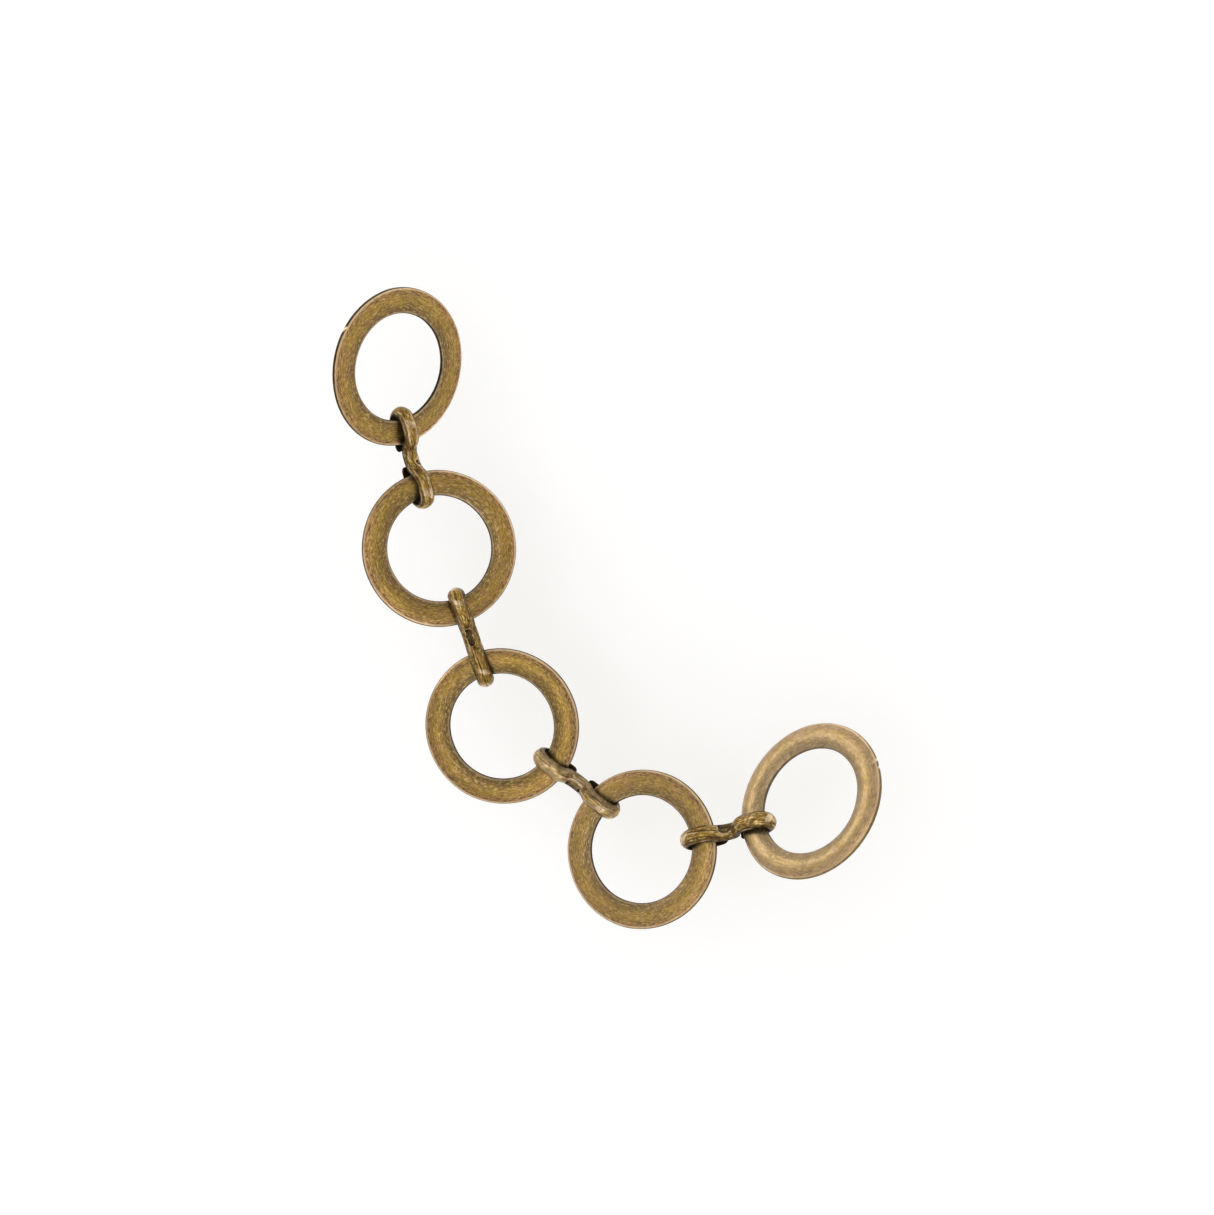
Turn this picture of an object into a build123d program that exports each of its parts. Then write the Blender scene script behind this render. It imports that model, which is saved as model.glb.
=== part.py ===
from build123d import *
import math
import os

# A short pocket watch chain: five flat rings joined by four wrap links, each a length of
# half-round wire folded into a figure eight that holds one ring in each of its eyes.
# Millimetres, +Z up. The chain lies face up in a bow. Its middle lies near the surface, and
# ring_2, ring_5 and most of all ring_1 stand up off it. The origin is on that surface, under
# the middle of the chain's outline.

# Ring: flat back, upright edges and a low dome on the front.
RING_RADIUS = 14.0
RING_BAR_WIDTH = 4.6
RING_THICKNESS = 1.5
RING_EDGE_HEIGHT = 0.7
RING_BACK_CHAMFER = 0.2

# Wrap link: half-round wire, flat side inwards.
WIRE_WIDTH = 3.0
WIRE_THICKNESS = 1.3
WIRE_EDGE_HEIGHT = 0.25
LINK_LENGTH = 18.7
LINK_HEIGHT = 6.0
LINK_TAIL_GAP = 2.9       # between the two cut ends, behind the waist
LINK_WAIST_DROP = 2.3     # how far the front strap dips between the two eyes
LINK_WAIST_FLAT = 0.6
LINK_SHOULDER = 4.5       # from the middle to where the front strap is level again
PINCH_LENGTH = 2.9        # the pit punched into the waist
PINCH_WIDTH = 1.5
PINCH_DEPTH = 0.3

# Where a ring's bar sits in an eye, from the middle of the link.
EYE_OFFSET = 5.1

# The resting pose, in degrees. A ring is entered at 0 and left at its own angle round it.
MIDDLE_RING_TILT = (0, 10.8, -1.1)
# link, angle round the ring it hangs on, its fold and roll there, then the far ring's
# fold, roll and skew in the other eye
UPPER_RUN = (
    ("wrap_link_2", 109, (0, -11), "ring_2", (4, 14, 0)),
    ("wrap_link_1", 179, (-7, -19), "ring_1", (15, 3, 0)),
)
LOWER_RUN = (
    ("wrap_link_3", -36, (-2, -10), "ring_4", (15, -11, -6)),
    ("wrap_link_4", -123, (-12, 13), "ring_5", (2, -7, 8)),
)
FLAT_SIDE_UP = ("ring_1",)

BAR_RADIUS = RING_RADIUS - RING_BAR_WIDTH / 2
METRE = 1000.0


def make_ring():
    """One ring, its axis along Z and its domed front towards +Z."""
    inner = RING_RADIUS - RING_BAR_WIDTH
    back = -RING_THICKNESS / 2
    front = RING_THICKNESS / 2
    edge = back + RING_EDGE_HEIGHT
    chamfer = RING_BACK_CHAMFER
    upright = Polyline(
        (inner, 0, edge),
        (inner, 0, back + chamfer),
        (inner + chamfer, 0, back),
        (RING_RADIUS - chamfer, 0, back),
        (RING_RADIUS, 0, back + chamfer),
        (RING_RADIUS, 0, edge),
    )
    dome = ThreePointArc((RING_RADIUS, 0, edge), (BAR_RADIUS, 0, front), (inner, 0, edge))
    return revolve(make_face([upright, dome]), Axis.Z)


def link_half_path():
    """The wire's centre line from one cut end, round one eye, to the middle of the waist."""
    level = (LINK_HEIGHT - WIRE_THICKNESS) / 2
    turn = LINK_LENGTH / 2 - WIRE_THICKNESS / 2 - level
    run = LINK_SHOULDER - LINK_WAIST_FLAT / 2
    bend_radius = (run**2 + LINK_WAIST_DROP**2) / (4 * LINK_WAIST_DROP)
    bend = 2 * math.degrees(math.atan2(LINK_WAIST_DROP, run))
    tail = Line((LINK_TAIL_GAP / 2, -level), (turn, -level))
    end_turn = JernArc(tail @ 1, (1, 0), level, 180)
    crown = Line(end_turn @ 1, (LINK_SHOULDER, level))
    shoulder = JernArc(crown @ 1, (-1, 0), bend_radius, bend)
    dip = JernArc(shoulder @ 1, shoulder % 1, bend_radius, -bend)
    waist = Line(dip @ 1, (0, level - LINK_WAIST_DROP))
    return Wire([tail, end_turn, crown, shoulder, dip, waist])


def wire_section(plane):
    """The half-round section, its flat side towards -Y of the plane."""
    side = WIRE_WIDTH / 2
    flat = -WIRE_THICKNESS / 2
    edge = flat + WIRE_EDGE_HEIGHT
    base = Polyline((-side, edge), (-side, flat), (side, flat), (side, edge))
    dome = ThreePointArc((side, edge), (0, WIRE_THICKNESS / 2), (-side, edge))
    return plane * make_face([base, dome])


def make_link():
    """One wrap link, its length along X, its front towards +Y and its width along Z."""
    path = link_half_path()
    cut_end = Plane(origin=path @ 0, x_dir=(0, 0, 1), z_dir=(1, 0, 0))
    half = sweep(wire_section(cut_end), path)
    link = half + mirror(half, about=Plane.YZ)
    waist_front = LINK_HEIGHT / 2 - LINK_WAIST_DROP
    pit_floor = Plane(origin=(0, waist_front - PINCH_DEPTH, 0), x_dir=(1, 0, 0), z_dir=(0, 1, 0))
    pit = extrude(pit_floor * SlotOverall(PINCH_LENGTH, PINCH_WIDTH), LINK_WAIST_DROP)
    return link - pit


def in_eye(fold, roll, skew=0):
    """How a bar turns in an eye: about the eye's width, the link's length and its front."""
    return Rot(Z=fold) * Rot(X=roll) * Rot(Y=skew)


# From a ring's centre to the bar at angle 0: X outwards, Y to the front, Z along the bar.
TO_BAR = Pos(X=BAR_RADIUS) * Rot(X=90)


def link_on(ring, around, fold, roll):
    """A link's place, hung on a ring at an angle round it."""
    bar = ring * Rot(Z=around) * TO_BAR
    return bar * in_eye(fold, roll).inverse() * Pos(X=EYE_OFFSET)


def ring_on(link, fold, roll, skew):
    """A ring's place, held in the far eye of a link."""
    bar = link * Pos(X=EYE_OFFSET) * in_eye(fold, roll, skew) * Rot(Y=180)
    return bar * TO_BAR.inverse()


def lay_out():
    """Every piece's place, and each joint as (name, parent, child, place of its axis)."""
    places = {"ring_3": Rot(*MIDDLE_RING_TILT)}
    joints = []
    for run in (UPPER_RUN, LOWER_RUN):
        parent = "ring_3"
        for link, around, seat, ring, far_seat in run:
            places[link] = link_on(places[parent], around, *seat)
            joints.append((f"{link}_round_{parent}", parent, link, places[parent]))
            places[ring] = ring_on(places[link], *far_seat)
            eye = places[link] * Pos(X=EYE_OFFSET)
            joints.append((f"{ring}_in_{link}", link, ring, eye))
            parent = ring
    return places, joints


def main():
    places, joints = lay_out()
    ring = make_ring()
    link = make_link()
    pieces = {}
    for name, place in places.items():
        turned = Rot(X=180) if name in FLAT_SIDE_UP else Location()
        shape = ring if name.startswith("ring") else link
        pieces[name] = place * turned * shape
    box = Compound(children=[piece.solid() for piece in pieces.values()]).bounding_box()
    to_floor = Pos(-box.center().X, -box.center().Y, -box.min.Z)
    os.makedirs("parts", exist_ok=True)
    for name, piece in sorted(pieces.items()):
        placed = (to_floor * piece).solid()
        placed.label = name
        export_step(placed, f"parts/{name}.step")
        centre = (to_floor * places[name]).position
        where = " ".join(f"{v:.3f}" for v in centre)
        print(f"piece {name} centre_mm {where} volume {placed.volume:.1f}")
    for name, parent, child, place in joints:
        where = (to_floor * place).position / METRE
        axis = Plane(place).z_dir
        print(f"joint {name} {parent} {child}", *(f"{v:.6f}" for v in (*where, *axis)))
    print(f"size_mm {box.size.X:.2f} {box.size.Y:.2f} {box.size.Z:.2f}")


main()
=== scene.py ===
"""Looks of a short pocket watch chain: five flat brass rings joined by four pinched wrap links.

Metres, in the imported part's frame. Each piece is built in its own axes, which are read off the
CAD solid it stands for, and rides on that solid's body.
"""
import math
from collections import namedtuple

import bpy
import numpy as np
from mathutils import Matrix, Vector


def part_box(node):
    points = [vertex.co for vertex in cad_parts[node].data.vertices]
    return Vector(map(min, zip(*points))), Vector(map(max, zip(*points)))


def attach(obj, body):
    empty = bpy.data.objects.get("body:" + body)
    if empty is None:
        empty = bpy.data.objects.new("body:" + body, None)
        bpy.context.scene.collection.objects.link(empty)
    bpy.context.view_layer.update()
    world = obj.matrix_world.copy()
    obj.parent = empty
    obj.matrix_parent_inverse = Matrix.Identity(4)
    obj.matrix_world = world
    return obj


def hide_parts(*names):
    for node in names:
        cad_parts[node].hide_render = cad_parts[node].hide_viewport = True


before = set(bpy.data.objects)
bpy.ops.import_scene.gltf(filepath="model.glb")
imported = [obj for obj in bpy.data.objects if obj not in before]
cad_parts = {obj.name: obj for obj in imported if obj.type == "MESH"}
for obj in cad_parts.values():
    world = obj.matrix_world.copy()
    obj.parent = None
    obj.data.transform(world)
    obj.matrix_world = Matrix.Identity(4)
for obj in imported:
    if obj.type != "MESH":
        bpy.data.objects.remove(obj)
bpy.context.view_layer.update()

MM = 0.001

# Ring section
RING_EDGE = 0.7 * MM          # height of the upright edge, from the flat back
RING_BACK_CHAMFER = 0.2 * MM
RING_CORNER = 0.10 * MM       # how far corners are rubbed round
RING_STEPS = 320
RING_OUTLINE = 96

# Ring wear, painted shade and painted highlights. A share across a bar runs from 0 at the hole to 1
# at the rim.
RIM_WAVER = 0.05 * MM         # how far a worn edge wavers
FACE_WAVER = 0.02 * MM
INNER_SHADE = 0.5             # the share of a bar, from the hole, that is painted in shade
BLUSH_PLACE = 0.85            # the share across a bar where a rosy line runs
BLUSH_WIDTH = 0.10
RIM_HIGHLIGHT_SIDE = math.radians(50)   # a ring's edge lines, rubbed and painted as highlights, are brightest here and opposite
HOLE_RUB_AND_HIGHLIGHT = 0.4                # the line at the hole's edge, rubbed and painted as a highlight, against the rim's
NICK_DEPTH = 0.11 * MM

# Wrap link wire and bends
WIRE_THICKNESS = 1.3 * MM
WIRE_EDGE = 0.25 * MM
WIRE_CORNER = 0.06 * MM
TAIL_GAP = 2.9 * MM
WAIST_DROP = 2.3 * MM
WAIST_FLAT = 0.6 * MM
SHOULDER = 4.5 * MM
TAPER = 0.9 * MM              # how much of each cut end is tapered
TAPERED = 0.30                # how much narrower the cut end itself is
BEND_EASING = 6               # rounds of smoothing that ease each bend into the next
LINK_STEPS = 420
LINK_OUTLINE = 88

# Wrap link wear
DIE_LINES = 9
DIE_LINE_HEIGHT = 0.03 * MM
LUMPS = 0.04 * MM             # lumps of wire bent by hand, and the finer ones on them
FINE_LUMPS = 0.02 * MM
SWAY = 0.05 * MM
BURR_HEIGHT = 0.06 * MM       # metal pushed up round a punched pit
BURR_WIDTH = (0.35 * MM, 0.25 * MM)
PIT_RAGGED = 0.10 * MM
PIT_SLANT = 0.12 * MM
PIT_ROUGHNESS = 0.06 * MM

# How far apart two neighbouring pieces lie in the textures, in millimetres, so that they differ
RING_GRAIN_APART = 31.7
RING_SPOT_APART = 17.3
LINK_GRAIN_APART = 23.9
LINK_SPOT_APART = 11.1

# The floor lies clear below the rings as they swing down at their joints' limits
FLOOR_DROP = 22 * MM
FLOOR_REACH = 3.0

# The camera looks at the middle ring's plane, turned with the resting chain
CAMERA_TURN = (math.radians(-4.02), math.radians(19.85))
CAMERA_PLACE = (18.8 * MM, 21.2 * MM, 420 * MM)
LENS = 69.7
SENSOR_WIDTH = 36


# ---------------------------------------------------------------- frame

def solid_moments(points, faces):
    """The centre and second moments of a closed solid's volume."""
    a, b, c = (points[faces[:, k]] for k in range(3))
    volumes = np.einsum("ij,ij->i", a, np.cross(b, c)) / 6
    total = a + b + c
    centre = (total * volumes[:, None]).sum(0) / 4 / volumes.sum()
    spread = sum(np.einsum("i,ij,ik->jk", volumes, p, p) for p in (a, b, c, total))
    return centre, spread / 20 / volumes.sum() - np.outer(centre, centre)


def own_axes(node):
    """A node's centre of volume, its axes from shortest spread to longest, and its points."""
    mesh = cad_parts[node].data
    mesh.calc_loop_triangles()
    points = np.array([v.co for v in mesh.vertices])
    faces = np.array([t.vertices for t in mesh.loop_triangles])
    centre, spread = solid_moments(points, faces)
    return centre, np.linalg.eigh(spread)[1].T, points


def placed(x, y, z, middle):
    """The matrix that takes a piece's own axes into the frame."""
    place = Matrix.Identity(4)
    for row in range(3):
        place[row][:] = (x[row], y[row], z[row], middle[row])
    return place


def ring_seat(node):
    """A ring's place, domed front towards its own +Z, and its radii and thickness."""
    centre, (normal, _, _), points = own_axes(node)
    heights = (points - centre) @ normal
    if heights.max() < -heights.min():
        normal = -normal
        heights = -heights
    x = np.cross((0, 1, 0), normal)
    x = x / np.linalg.norm(x)
    y = np.cross(normal, x)
    middle = centre + normal * (heights.max() + heights.min()) / 2
    offset = points - centre
    radii = np.hypot(offset @ x, offset @ y)
    return placed(x, y, normal, middle), radii.min(), radii.max(), np.ptp(heights)


def link_seat(node):
    """A wrap link's place, length along its own X and front towards +Y, and its three sizes."""
    centre, (width, front, length), points = own_axes(node)
    offset = points - centre
    heights = offset @ front
    inner = heights[np.abs(offset @ length) < TAIL_GAP]
    if inner.max() + inner.min() > heights.max() + heights.min():
        front = -front
    if length[1] < 0:
        length = -length
    width = np.cross(length, front)
    axes = np.array((length, front, width))
    local = offset @ axes.T
    middle = centre + (local.max(0) + local.min(0)) / 2 @ axes
    return placed(length, front, width, middle), np.ptp(local, axis=0)


# ---------------------------------------------------------------- lines and skins

def arc(centre, radius, start, end, steps):
    """Points along an arc, its angles in radians."""
    angles = np.linspace(start, end, steps)
    x = centre[0] + radius * np.cos(angles)
    y = centre[1] + radius * np.sin(angles)
    return np.column_stack((x, y))


def distances(line):
    """How far along a line each of its points is."""
    return np.concatenate(([0], np.cumsum(np.hypot(*np.diff(line, axis=0).T))))


def resampled(line, count, closed):
    """Evenly spaced points along a line, and how far apart they are."""
    if closed:
        line = np.vstack((line, line[:1]))
    along = distances(line)
    at = np.linspace(0, along[-1], count, endpoint=not closed)
    return np.column_stack([np.interp(at, along, line[:, k]) for k in range(2)]), at[1]


def rubbed(outline, count, radius):
    """A closed outline of count points, with its corners rubbed round by about radius."""
    finer = 8
    points, spacing = resampled(outline, count * finer, closed=True)
    waves = np.fft.fftfreq(len(points), spacing)
    blur = np.exp(-2 * (np.pi * waves * radius) ** 2)
    points = np.column_stack([np.fft.ifft(np.fft.fft(points[:, k]) * blur).real for k in range(2)])
    return points[::finer]


def outward(tangent):
    """The unit normals to the right of a row of tangents."""
    tangent = tangent / np.hypot(*tangent.T)[:, None]
    return np.column_stack((tangent[:, 1], -tangent[:, 0]))


def outline_facts(outline):
    """For each point of a closed outline: its distance along and its outward normal."""
    ahead = np.roll(outline, -1, axis=0)
    behind = np.roll(outline, 1, axis=0)
    return distances(outline), outward(ahead - behind)


def wander(at, seed, reach, slowest):
    """A smooth random line along `at`, about as high as reach. Its longest wave is slowest long."""
    rng = np.random.default_rng(seed)
    line = np.zeros_like(at)
    for k in range(1, 6):
        turns = at / slowest * (k + rng.uniform(-0.3, 0.3))
        line = line + np.sin(2 * np.pi * (turns + rng.random())) / k
    return reach * line / 1.5


def ring_wander(angle, seed, reach):
    """The same round a ring, so that it repeats after one turn."""
    rng = np.random.default_rng(seed)
    line = np.zeros_like(angle)
    for k in range(1, 6):
        line = line + np.sin((k + 1) * angle + rng.random() * 2 * np.pi) / k
    return reach * line / 1.5


def layered(shape, *values):
    """The values as the layers of one array, each spread over shape."""
    return np.dstack([np.broadcast_to(value, shape) for value in values])


def row_faces(count, around, closed):
    """Faces between rows of closed outlines. Open ends are capped."""
    corner = np.arange(around)
    beside = (corner + 1) % around
    faces = []
    for row in range(count if closed else count - 1):
        here = row * around
        there = (row + 1) % count * around
        sides = (here + corner, here + beside, there + beside, there + corner)
        faces.extend(np.column_stack(sides).tolist())
    if not closed:
        faces.append(corner[::-1].tolist())
        faces.append(((count - 1) * around + corner).tolist())
    return faces


def skin(name, rows, closed, marks, place):
    """A mesh over rows of closed outlines, put in place.

    marks are the values at each point that materials read: rows of vectors, or numbers that
    are spread over the rows.
    """
    count, around = rows.shape[:2]
    mesh = bpy.data.meshes.new(name)
    mesh.from_pydata(rows.reshape(-1, 3).tolist(), [], row_faces(count, around, closed))
    for mark, values in marks.items():
        if values.ndim == 3:
            layer = mesh.attributes.new(mark, "FLOAT_VECTOR", "POINT")
            layer.data.foreach_set("vector", values.astype(np.float32).ravel())
        else:
            layer = mesh.attributes.new(mark, "FLOAT", "POINT")
            spread = np.broadcast_to(values, (count, around))
            layer.data.foreach_set("value", spread.astype(np.float32).ravel())
    mesh.transform(place)
    mesh.shade_smooth()
    mesh.set_sharp_from_angle(angle=math.radians(50))
    piece = bpy.data.objects.new(name, mesh)
    bpy.context.scene.collection.objects.link(piece)
    return piece


# ---------------------------------------------------------------- rings

# A nick's place round a ring, and half its length
Nick = namedtuple("Nick", "angle half_length")


def ring_section(inner, outer, thickness):
    """A ring's section as (radius, height), anticlockwise from the inside of its flat back."""
    back = -thickness / 2
    edge = back + RING_EDGE
    rise = thickness / 2 - edge
    half = (outer - inner) / 2
    crown = (half ** 2 + rise ** 2) / (2 * rise)
    reach = math.asin(half / crown)
    middle = (inner + half, thickness / 2 - crown)
    dome = arc(middle, crown, math.pi / 2 - reach, math.pi / 2 + reach, steps=48)
    chamfer = RING_BACK_CHAMFER
    back_corners = [
        (inner, back + chamfer),
        (inner + chamfer, back),
        (outer - chamfer, back),
        (outer, back + chamfer),
    ]
    return np.vstack((back_corners, dome))


def nicked(nicks, turn, height, outer, outwards, number):
    """How deep a ring's nicks cut into its rim, and how bright and how dirty they are."""
    cut = np.zeros_like(height)
    bright = np.zeros_like(height)
    dirty = np.zeros_like(height)
    for nick in nicks:
        gap = np.angle(np.exp(1j * (turn - nick.angle))) * outer
        here = np.clip(1 - (gap / nick.half_length) ** 2, 0, 1) * outwards ** 2
        chatter = wander(gap + 0.8 * height, number + 30, 1.5, 1.1 * nick.half_length)
        cut = cut + NICK_DEPTH * here * (0.6 + 0.4 * chatter)
        bright = bright + 2 * here * np.clip(chatter + 0.1, 0, 1)
        dirty = dirty + here * np.clip(-1.5 * chatter, 0, 1)
    return cut, bright, dirty


def make_ring(node, number, painted_sheen, nicks):
    """A worn ring, with its nicks and what its material reads."""
    place, inner, outer, thickness = ring_seat(node)
    outline = rubbed(ring_section(inner, outer, thickness), RING_OUTLINE, RING_CORNER)
    along, normal = outline_facts(outline)
    turn = (np.arange(RING_STEPS) * 2 * math.pi / RING_STEPS)[:, None]
    outwards = np.clip(normal[:, 0], 0, 1)
    inwards = np.clip(-normal[:, 0], 0, 1)

    # worn edges that waver, and the nicks
    height = outline[:, 1] + normal[:, 1] * ring_wander(turn, number + 40, FACE_WAVER)
    cut, bright, dirty = nicked(nicks, turn, height, outer, outwards, number)
    radius = outline[:, 0] - outwards * np.abs(ring_wander(turn, number, RIM_WAVER))
    radius = radius + inwards * np.abs(ring_wander(turn, number + 20, RIM_WAVER)) - cut
    rows = layered(radius.shape, radius * np.cos(turn), radius * np.sin(turn), height)

    # what the material reads
    middle = (inner + outer) / 2
    grain = layered(radius.shape, middle * np.cos(turn), middle * np.sin(turn), along)
    share = (outline[:, 0] - inner) / (outer - inner)
    # the rubbed edge lines are painted brighter towards two opposite sides, as painted highlights
    rub_and_highlight = 0.7 + 0.3 * np.cos(2 * (turn - RIM_HIGHLIGHT_SIDE))
    marks = {
        "grain": grain / MM + number * RING_GRAIN_APART,
        "spot": rows / MM + number * RING_SPOT_APART,
        "edge": np.minimum(outline[:, 0] - inner, outer - outline[:, 0]) / MM,
        "rub_and_highlight": np.where(share > 0.5, rub_and_highlight, HOLE_RUB_AND_HIGHLIGHT * rub_and_highlight),
        "wear_and_sheen": painted_sheen + bright,
        "dirt_and_painted_shade": dirty,
        "blush": np.exp(-((share - BLUSH_PLACE) / BLUSH_WIDTH) ** 2),
        # painted shade on the inner slope of each bar, darkest at the hole
        "shaded": np.clip(1 - share / INNER_SHADE, 0, 1),
    }
    return skin(f"aged_{node}", rows, True, marks, place)


# ---------------------------------------------------------------- wrap links

# A link's punched pit: its middle, along and across from the waist's, its reach each way, its
# depth and how dirty it is
Pit = namedtuple("Pit", "middle reach depth dirt")


def link_path(length, height):
    """The wire's centre line from cut end to cut end, in the link's own X and Y."""
    level = (height - WIRE_THICKNESS) / 2
    turn = length / 2 - WIRE_THICKNESS / 2 - level
    run = SHOULDER - WAIST_FLAT / 2
    bend = (run ** 2 + WAIST_DROP ** 2) / (4 * WAIST_DROP)
    reach = 2 * math.atan2(WAIST_DROP, run)
    shoulder = (SHOULDER, level - bend)
    dip = (WAIST_FLAT / 2, level - WAIST_DROP + bend)
    half = np.vstack((
        [(TAIL_GAP / 2, -level)],
        arc((turn, 0), level, -math.pi / 2, math.pi / 2, steps=60),
        arc(shoulder, bend, math.pi / 2, math.pi / 2 + reach, steps=30),
        arc(dip, bend, -math.pi / 2 + reach, -math.pi / 2, steps=30),
    ))
    mirrored = half[::-1] * (-1, 1)
    return np.vstack((half, mirrored))


def wire_line(length, height):
    """The wire's centre line, its bends eased, with each point's distance along and outer side."""
    line, _ = resampled(link_path(length, height), LINK_STEPS, closed=False)
    for _ in range(BEND_EASING):
        line[1:-1] = (line[:-2] + 2 * line[1:-1] + line[2:]) / 4
    at = distances(line)
    return line, at[:, None], outward(np.gradient(line, at, axis=0))


def wire_section(width):
    """The wire's half-round section as (across, outwards), anticlockwise."""
    side = width / 2
    flat = -WIRE_THICKNESS / 2
    rise = WIRE_THICKNESS - WIRE_EDGE
    radius = (side ** 2 + rise ** 2) / (2 * rise)
    reach = math.asin(side / radius)
    middle = (0, WIRE_THICKNESS / 2 - radius)
    dome = arc(middle, radius, math.pi / 2 - reach, math.pi / 2 + reach, steps=60)
    return np.vstack(([(-side, flat), (side, flat)], dome))


def die_lines(at, across, number):
    """Fine ridges and scratches along the wire, from -1 to 1, that wander and fade in and out."""
    rng = np.random.default_rng(number + 60)
    lines = np.zeros_like(at + across)
    for k in range(DIE_LINES):
        middle = rng.uniform(-1.2, 1.2) * MM + wander(at, number * 10 + k, 0.16 * MM, 26 * MM)
        fade = np.clip(wander(at, number * 10 + k + 500, 1.4, 17 * MM), 0, 1)
        height = rng.choice((-1.0, 1.0))
        width = rng.uniform(0.07 * MM, 0.13 * MM)
        lines = lines + height * fade * np.exp(-((across - middle) / width) ** 2)
    return np.clip(lines, -1, 1)


def dent(along, across, middle, reach):
    """1 inside an oblong dent, falling steeply to 0 at its edge."""
    away_along = np.abs((along - middle[0]) / reach[0])
    away_across = np.abs((across - middle[1]) / reach[1])
    return np.clip(1 - (away_along ** 3 + away_across ** 3), 0, 1) ** 0.5


def punched(pit, from_waist, across, number):
    """How far a pit sinks the wire, and how much each point is its floor, burr, shadowed wall and
    ends.
    """
    ragged = wander(1.3 * across - 0.6 * from_waist, number + 12, PIT_RAGGED, 1.1 * MM)
    slant = wander(from_waist, number + 9, PIT_SLANT, 2.5 * MM)
    along = from_waist + ragged
    burr_reach = (pit.reach[0] + BURR_WIDTH[0], pit.reach[1] + BURR_WIDTH[1])
    floor = dent(along, across + slant, pit.middle, pit.reach)
    burr = dent(along, across + slant, pit.middle, burr_reach) - floor
    # only the wall on one side, which is painted in shadow
    shadowed_wall = 4 * floor * (1 - floor) * (across > pit.middle[1])
    to_end = np.abs(along - pit.middle[0]) / pit.reach[0]
    ends = floor * np.clip(2.5 * to_end - 1.3, 0, 1)
    rough = wander(from_waist + 0.8 * across, number + 11, PIT_ROUGHNESS, 0.9 * MM)
    sunk = (pit.depth * (0.6 + 0.6 * ends) + rough) * floor - BURR_HEIGHT * burr
    return sunk, floor, burr, shadowed_wall, ends


def side_rub_and_highlight(at, across, number):
    """How rubbed each side of the wire is, and how bright its painted edge highlight. It comes and
    goes along the wire.
    """
    one_side = np.clip(0.4 + wander(at, number + 16, 0.9, 9 * MM), 0, 1)
    other_side = np.clip(0.2 + wander(at, number + 17, 0.9, 9 * MM), 0, 1)
    return np.where(across > 0, one_side, other_side)


def make_link(node, number, painted_sheen, pit):
    """A wrap link, with its tool marks and what its material reads."""
    place, (length, height, width) = link_seat(node)
    line, at, outer_side = wire_line(length, height)
    outline = rubbed(wire_section(width), LINK_OUTLINE, WIRE_CORNER)
    along, normal = outline_facts(outline)
    across = outline[:, 0]
    on_top = np.clip(normal[:, 1], 0, 1)
    below = np.clip(-normal[:, 1], 0, 1)
    sideways = np.abs(normal[:, 0])

    # the wire's surface: die lines, lumps and the punched pit
    lines = die_lines(at, across, number)
    lumps = wander(at + 0.4 * across, number + 3, LUMPS, 7 * MM)
    lumps = lumps + wander(at - 0.3 * across, number + 4, FINE_LUMPS, 5 * MM)
    sunk, floor, burr, shadowed_wall, ends = punched(pit, at - at[-1] / 2, across, number)
    out = outline[:, 1] + on_top * (DIE_LINE_HEIGHT * lines + lumps - sunk)

    # the wire tapers a little to its cut ends
    off_ends = np.clip(np.minimum(at, at[-1] - at) / TAPER, 0, 1)
    shrink = 1 - TAPERED * (1 - off_ends) ** 3
    sway = wander(at, number + 13, SWAY, 12 * MM)
    rows = layered(
        out.shape,
        line[:, :1] + outer_side[:, :1] * out * shrink,
        line[:, 1:] + outer_side[:, 1:] * out * shrink,
        sway * off_ends - across * shrink,
    )

    # what the material reads. The wire is rubbed most, and painted with glints, where it bends
    # round at each eye.
    on_eye = np.clip((np.abs(line[:, :1]) / (length / 2) - 0.55) / 0.25, 0, 1)
    polish_and_glints = np.clip(wander(at + 0.5 * across, number + 15, 2.2, 4 * MM) - 0.1, 0, 1)
    polish_and_glints = polish_and_glints * on_eye * on_top ** 8
    ridges = np.clip(lines, 0, 1)
    scratches = np.clip(-lines, 0, 1)
    # painted shade under the wire, on its upright sides, at the pit's ends and on one pit wall,
    # with dirt in the scratches
    upright = np.clip((sideways - 0.6) / 0.35, 0, 1)
    painted_shade_and_dirt = below + 0.6 * upright + on_top * (0.8 * scratches + 0.9 * ends + shadowed_wall)
    marks = {
        "grain": layered(out.shape, at, 0, along) / MM + number * LINK_GRAIN_APART,
        "spot": rows / MM + number * LINK_SPOT_APART,
        "edge": (width / 2 - np.abs(across)) / MM,
        "rub_and_highlight": side_rub_and_highlight(at, across, number) * (1 - below),
        "wear_and_sheen": painted_sheen + on_top * (0.7 * ridges + 0.9 * burr) + 1.6 * polish_and_glints,
        "dirt_and_painted_shade": np.clip(painted_shade_and_dirt, 0, 1),
        # painted shade on the wire's sideways faces
        "shaded": np.clip((sideways - 0.3) / 0.5, 0, 1),
        "pit": pit.dirt * np.clip(1.5 * floor, 0, 1) * on_top,
    }
    return skin(f"aged_{node}", rows, False, marks, place)


# ---------------------------------------------------------------- materials

def srgb(red, green, blue):
    """A colour as seen on a screen, 0 to 255, as the linear one that shaders take."""
    parts = []
    for value in (red / 255, green / 255, blue / 255):
        parts.append(value / 12.92 if value <= 0.04045 else ((value + 0.055) / 1.055) ** 2.4)
    return (*parts, 1)


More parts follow.
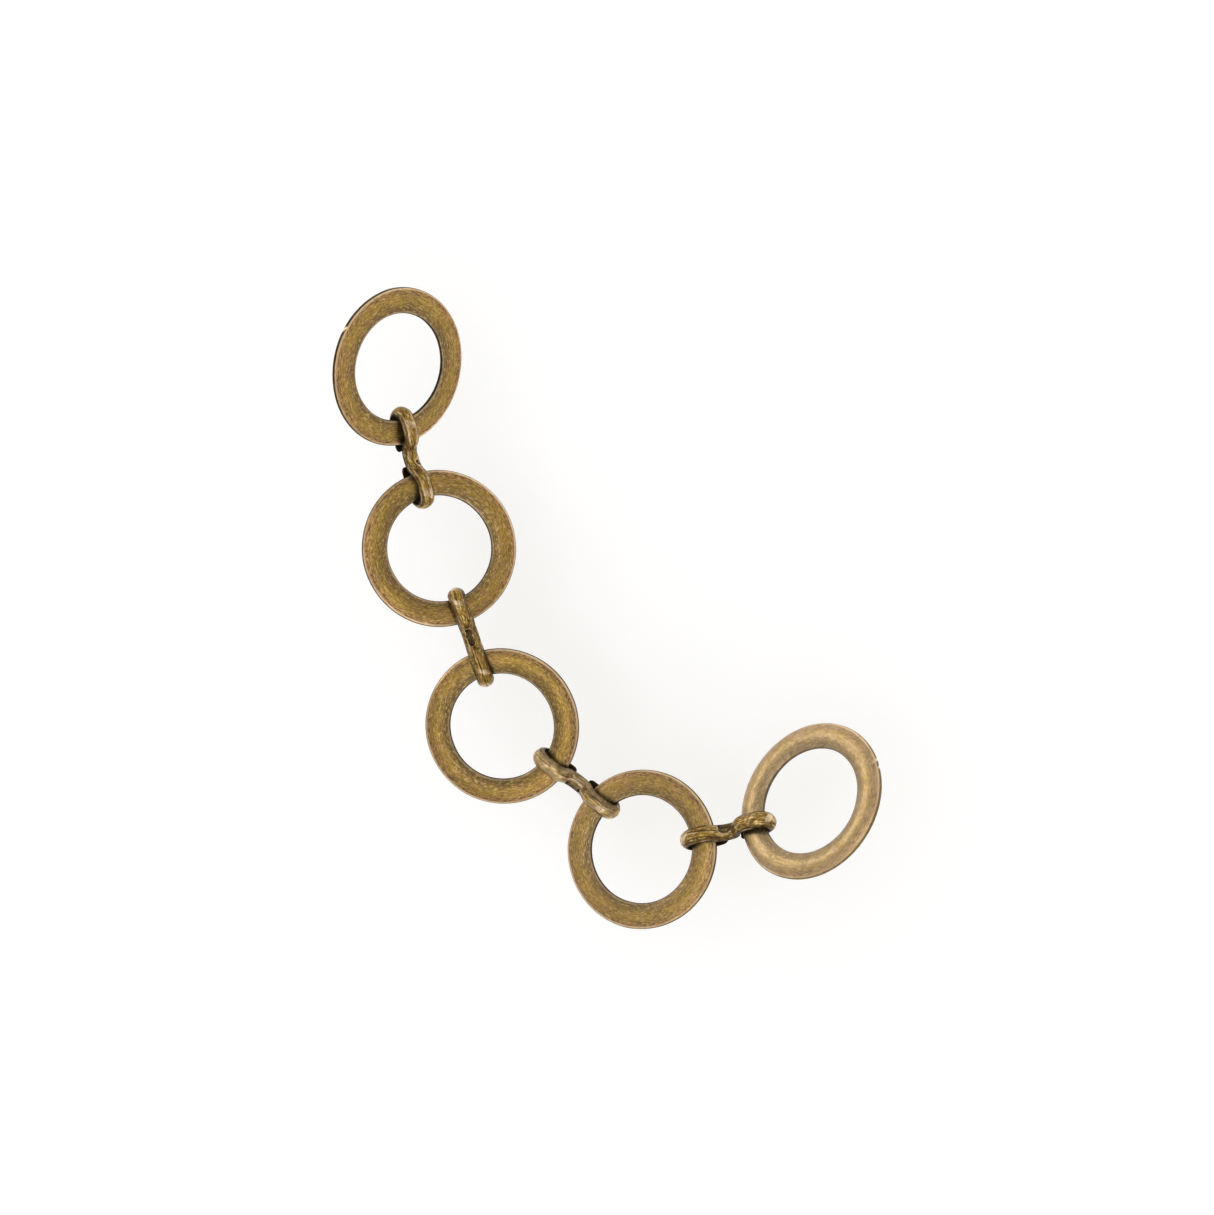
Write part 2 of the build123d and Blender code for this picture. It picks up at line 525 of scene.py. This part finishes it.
class Shader:
    """A material's nodes, with short ways to add to them."""

    def __init__(self, name):
        self.material = bpy.data.materials.new(name)
        self.material.use_nodes = True
        self.nodes = self.material.node_tree.nodes
        self.links = self.material.node_tree.links
        self.surface = self.nodes["Principled BSDF"].inputs

    def put(self, socket, value):
        if isinstance(value, bpy.types.NodeSocket):
            self.links.new(value, socket)
        else:
            socket.default_value = value

    def mark(self, name, vector=False):
        """A value that the mesh carries, or 0 where it carries none of that name."""
        node = self.nodes.new("ShaderNodeAttribute")
        node.attribute_name = name
        return node.outputs["Vector" if vector else "Fac"]

    def math(self, operation, first, second):
        node = self.nodes.new("ShaderNodeMath")
        node.operation = operation
        node.use_clamp = True
        self.put(node.inputs[0], first)
        self.put(node.inputs[1], second)
        return node.outputs[0]

    def noise(self, vector, scale, detail, roughness, distortion=0.0):
        node = self.nodes.new("ShaderNodeTexNoise")
        self.put(node.inputs["Vector"], vector)
        node.inputs["Scale"].default_value = scale
        node.inputs["Detail"].default_value = detail
        node.inputs["Roughness"].default_value = roughness
        node.inputs["Distortion"].default_value = distortion
        return node.outputs["Fac"]

    def streaks(self, grain, along, across, detail, side=1):
        """Noise drawn out along the grain. A side of -1 mirrors it, apart from other streaks."""
        node = self.nodes.new("ShaderNodeMapping")
        self.put(node.inputs["Vector"], grain)
        node.inputs["Scale"].default_value = (side * along, along, across)
        return self.noise(node.outputs[0], 1, detail, 0.6)

    def span(self, value, low, high, to_low=0.0, to_high=1.0):
        """Goes smoothly from to_low to to_high as value goes from low to high."""
        node = self.nodes.new("ShaderNodeMapRange")
        node.interpolation_type = "SMOOTHSTEP"
        self.put(node.inputs["Value"], value)
        ends = {"From Min": low, "From Max": high, "To Min": to_low, "To Max": to_high}
        for name, number in ends.items():
            node.inputs[name].default_value = number
        return node.outputs["Result"]

    def blend(self, amount, first, second):
        node = self.nodes.new("ShaderNodeMix")
        node.data_type = "RGBA"
        self.put(node.inputs["Factor"], amount)
        self.put(node.inputs["A"], first)
        self.put(node.inputs["B"], second)
        return node.outputs["Result"]

    def bump(self, height, depth, strength, over=None):
        """A bump, over an earlier one if there is one."""
        node = self.nodes.new("ShaderNodeBump")
        node.inputs["Strength"].default_value = strength
        node.inputs["Distance"].default_value = depth
        self.put(node.inputs["Height"], height)
        if over is not None:
            self.put(node.inputs["Normal"], over)
        return node.outputs["Normal"]


GOLDEN = srgb(175, 138, 54)
OLIVE = srgb(156, 126, 49)
ROSE = srgb(176, 130, 84)
BROWN = srgb(86, 60, 32)
GLINT = srgb(214, 178, 104)
SHADE = srgb(78, 61, 44)
PALE_RUB_AND_HIGHLIGHT = srgb(232, 204, 166)
TARNISH = srgb(28, 20, 14)
VERDIGRIS = srgb(92, 88, 64)
FLOOR_WHITE = srgb(253, 253, 252)

Textures = namedtuple("Textures", "bands streaks fine glints clouds patches specks")

# How one aged brass differs from another:
#   along, across   streaks per millimetre of grain
#   contrast        how dark the streaks are
#   clouds          clouds per millimetre
#   shade           how dark the shaded side is
#   tone            how brown it is all over
#   rim             how far in from an edge the rubbed line and painted highlight lie, in millimetres
#   unbroken        how bright the dullest stretch of a rubbed, highlit line stays
#   scuffing how bright its scattered scuffs and painted glints are
#   lacquer         how much clear coat it keeps where it is clean
Look = namedtuple("Look", "along across contrast clouds shade tone rim unbroken scuffing lacquer")


def brass_textures(shader, look):
    grain = shader.mark("grain", vector=True)
    spot = shader.mark("spot", vector=True)
    return Textures(
        bands=shader.streaks(grain, look.along * 0.25, look.across * 0.3, 3),
        streaks=shader.streaks(grain, look.along, look.across, 3),
        fine=shader.streaks(grain, look.along * 3.2, look.across * 1.9, 2),
        glints=shader.streaks(grain, look.along * 2.4, look.across * 1.6, 2, side=-1),
        clouds=shader.noise(spot, look.clouds, 4, 0.6, 0.4),
        patches=shader.noise(spot, look.clouds * 3.1, 4, 0.6, 0.8),
        specks=shader.noise(spot, 4.2, 3, 0.7),
    )


def brass_body(shader, look, made):
    """The metal's colour: clouds, streaks along the grain and specks, with painted shade on its
    shaded side.
    """
    blush = shader.mark("blush")
    patchy = shader.span(made.patches, 0.48, 0.68, 0, 0.7)
    rosy = shader.math("MAXIMUM", shader.math("MULTIPLY", blush, 0.8), patchy)
    banded = shader.span(made.bands, 0.42, 0.72, look.tone, look.tone + look.contrast * 0.6)
    dashes = shader.math("MULTIPLY", blush, shader.span(made.fine, 0.48, 0.55, 0, 0.7))
    # painted shade on the shaded side, uneven along the streaks
    uneven = shader.span(made.streaks, 0.35, 0.6, look.shade * 0.7, look.shade)
    shade = shader.math("MULTIPLY", shader.mark("shaded"), uneven)
    streaked = shader.span(made.streaks, 0.42, 0.72, 0, look.contrast * 0.8)
    scratched = shader.span(made.fine, 0.46, 0.62, 0, look.contrast * 1.25)
    glinting = shader.span(made.glints, 0.51, 0.66, 0, look.contrast * 1.2)
    speckled = shader.span(made.specks, 0.56, 0.68, 0, 0.55)

    colour = shader.blend(shader.span(made.clouds, 0.38, 0.62), GOLDEN, OLIVE)
    colour = shader.blend(rosy, colour, ROSE)
    colour = shader.blend(banded, colour, BROWN)
    colour = shader.blend(streaked, colour, BROWN)
    colour = shader.blend(scratched, colour, BROWN)
    colour = shader.blend(dashes, colour, BROWN)
    colour = shader.blend(shade, colour, SHADE)
    colour = shader.blend(glinting, colour, GLINT)
    return shader.blend(speckled, colour, TARNISH)


def brass_rubbing_and_highlights(shader, look, made, edge, wear_and_sheen):
    """Where the metal is rubbed bright and painted with highlights: a thin line inside each edge,
    worn spots, painted sheen and glints, and scuffs.
    """
    # a thin line inside each edge, rubbed and painted as a highlight
    in_from_edge = shader.span(edge, 0.3 * look.rim, look.rim)
    near_edge = shader.span(edge, 1.5 * look.rim, 2.6 * look.rim, 1, 0)
    line = shader.math("MULTIPLY", in_from_edge, near_edge)
    rim = shader.math("MULTIPLY", line, shader.mark("rub_and_highlight"))
    patched = shader.span(made.patches, 0.40, 0.56, look.unbroken, 1.0)
    bright = shader.math("MULTIPLY", shader.math("MAXIMUM", rim, wear_and_sheen), patched)
    # scattered scuffs and painted glints
    return shader.math("MAXIMUM", bright, shader.span(made.glints, 0.62, 0.69, 0, look.scuffing))


def brass_dirt_and_shade(shader, look, made, edge, wear_and_sheen):
    """Where it is darkened: painted shade on an edge's very corner, unless worn, and shade and dirt
    in recesses.
    """
    # a painted dark outline of shade on the very corner of each edge
    corner = shader.span(edge, 0.2 * look.rim, 0.7 * look.rim, 0.9, 0)
    painted_edge_shade = shader.math("SUBTRACT", corner, wear_and_sheen)
    dirt = shader.math("MAXIMUM", shader.mark("dirt_and_painted_shade"), painted_edge_shade)
    return shader.math("MULTIPLY", dirt, shader.span(made.clouds, 0.3, 0.7, 1.0, 0.85))


def aged_brass(name, look):
    """Antiqued brass. Its streaks follow the grain, round each ring or along each wire."""
    shader = Shader(name)
    made = brass_textures(shader, look)
    edge = shader.mark("edge")
    wear_and_sheen = shader.mark("wear_and_sheen")
    pit = shader.mark("pit")
    bright = brass_rubbing_and_highlights(shader, look, made, edge, wear_and_sheen)
    dirt = brass_dirt_and_shade(shader, look, made, edge, wear_and_sheen)

    colour = brass_body(shader, look, made)
    # painted highlights, painted sheen and glints, and rubbed metal, in pale tan
    colour = shader.blend(shader.math("MULTIPLY", bright, 0.95), colour, PALE_RUB_AND_HIGHLIGHT)
    # painted shade and dirt, darkened towards tarnish
    colour = shader.blend(dirt, colour, TARNISH)
    pit_floor = shader.blend(shader.span(made.specks, 0.40, 0.52, 0.3, 1.0), VERDIGRIS, TARNISH)
    pit_cover = shader.math("MULTIPLY", pit, shader.span(made.fine, 0.3, 0.6, 0.9, 0.6))
    colour = shader.blend(pit_cover, colour, pit_floor)

    matt = shader.math("MAXIMUM", dirt, pit)
    rough = shader.span(made.streaks, 0.3, 0.7, 0.32, 0.46)
    rough = shader.math("ADD", rough, shader.span(made.specks, 0.55, 0.8, 0, 0.12))
    rough = shader.math("SUBTRACT", rough, shader.math("MULTIPLY", bright, 0.18))
    rough = shader.math("ADD", rough, shader.math("MULTIPLY", matt, 0.25))

    normal = shader.bump(made.clouds, 0.10 * MM, 0.5)
    normal = shader.bump(made.streaks, 0.03 * MM, 0.5, normal)
    normal = shader.bump(made.fine, 0.02 * MM, 0.5, normal)
    normal = shader.bump(made.specks, 0.03 * MM, 0.4, normal)

    shader.put(shader.surface["Base Color"], colour)
    shader.put(shader.surface["Roughness"], rough)
    shader.put(shader.surface["Normal"], normal)
    shader.put(shader.surface["Coat Weight"], shader.span(matt, 0.0, 0.8, look.lacquer, 0.05))
    shader.surface["Coat Roughness"].default_value = 0.3
    shader.surface["Metallic"].default_value = 1.0
    return shader.material


def studio_white():
    """Plain white, lit a little from within so that shadows on it stay pale."""
    shader = Shader("studio_white")
    shader.surface["Base Color"].default_value = FLOOR_WHITE
    shader.surface["Roughness"].default_value = 0.8
    shader.surface["Emission Color"].default_value = (1, 1, 1, 1)
    shader.surface["Emission Strength"].default_value = 0.10
    return shader.material


# ---------------------------------------------------------------- studio

def make_floor():
    mesh = bpy.data.meshes.new("studio_floor")
    corners = [(-1, -1), (1, -1), (1, 1), (-1, 1)]
    points = [(x * FLOOR_REACH, y * FLOOR_REACH, -FLOOR_DROP) for x, y in corners]
    mesh.from_pydata(points, [], [(0, 1, 2, 3)])
    mesh.materials.append(studio_white())
    floor = bpy.data.objects.new("studio_floor", mesh)
    bpy.context.scene.collection.objects.link(floor)


def make_light(name, place, size, power):
    """A round softbox that faces the chain."""
    light = bpy.data.lights.new(name, "AREA")
    light.shape = "DISK"
    light.size = size
    light.energy = power
    lamp = bpy.data.objects.new(name, light)
    lamp.location = place
    lamp.rotation_euler = (-Vector(place)).to_track_quat("-Z", "Y").to_euler()
    bpy.context.scene.collection.objects.link(lamp)


def make_studio():
    world = bpy.data.worlds.new("soft_room")
    world.use_nodes = True
    background = world.node_tree.nodes["Background"].inputs
    background["Color"].default_value = (1, 1, 1, 1)
    background["Strength"].default_value = 0.8
    bpy.context.scene.world = world
    make_light("key_softbox", (-1.00, 0.70, 0.35), size=0.9, power=2.1)
    make_light("top_softbox", (0.20, 0.10, 1.20), size=1.0, power=1.5)
    make_light("front_softbox", (0.40, -0.90, 1.00), size=1.2, power=1.8)
    bpy.context.scene.view_settings.view_transform = "Standard"


def make_camera():
    data = bpy.data.cameras.new("camera")
    data.lens = LENS
    data.sensor_width = SENSOR_WIDTH
    camera = bpy.data.objects.new("camera", data)
    low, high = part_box("ring_3")
    turn = Matrix.Rotation(CAMERA_TURN[0], 4, "X") @ Matrix.Rotation(CAMERA_TURN[1], 4, "Y")
    middle = Matrix.Translation((low + high) / 2)
    camera.matrix_world = middle @ turn @ Matrix.Translation(CAMERA_PLACE)
    bpy.context.scene.collection.objects.link(camera)
    bpy.context.scene.camera = camera


# ---------------------------------------------------------------- the chain

# How much a piece is painted lighter all over, a painted sheen
PAINTED_SHEEN = {"ring_4": 0.06, "ring_5": 0.30, "wrap_link_3": 0.32}

NICKS = {
    "ring_1": [Nick(math.radians(28), 1.6 * MM)],
    "ring_5": [Nick(math.radians(33), 1.2 * MM)],
}

PITS = {
    "wrap_link_1": Pit((1.2 * MM, -0.55 * MM), (0.7 * MM, 0.40 * MM), 0.12 * MM, 1.0),
    "wrap_link_2": Pit((0.0 * MM, 0.10 * MM), (2.10 * MM, 0.60 * MM), 0.40 * MM, 1.0),
    "wrap_link_3": Pit((-0.2 * MM, 0.50 * MM), (1.90 * MM, 0.85 * MM), 0.35 * MM, 0.6),
    "wrap_link_4": Pit((0.1 * MM, 0.75 * MM), (1.70 * MM, 1.25 * MM), 0.35 * MM, 1.0),
}

RING_LOOK = Look(
    along=0.5, across=3.0, contrast=0.42, clouds=0.17, shade=0.95,
    tone=0.0, rim=0.20, unbroken=0.7, scuffing=0.18, lacquer=0.5,
)
WIRE_LOOK = Look(
    along=0.5, across=3.4, contrast=0.70, clouds=0.30, shade=0.60,
    tone=0.03, rim=0.08, unbroken=0.35, scuffing=0.65, lacquer=0.15,
)

ring_brass = aged_brass("aged_brass_ring", RING_LOOK)
wire_brass = aged_brass("aged_brass_wire", WIRE_LOOK)
for number, node in enumerate(sorted(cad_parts)):
    painted_sheen = PAINTED_SHEEN.get(node, 0.0)
    if node.startswith("ring"):
        piece = make_ring(node, number, painted_sheen, NICKS.get(node, []))
        material, slot = ring_brass, "aged_brass_ring"
    else:
        piece = make_link(node, number, painted_sheen, PITS[node])
        material, slot = wire_brass, "aged_brass_wire"
    piece.data.materials.append(material)
    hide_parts(node)
    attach(piece, node)

make_floor()
make_studio()
make_camera()
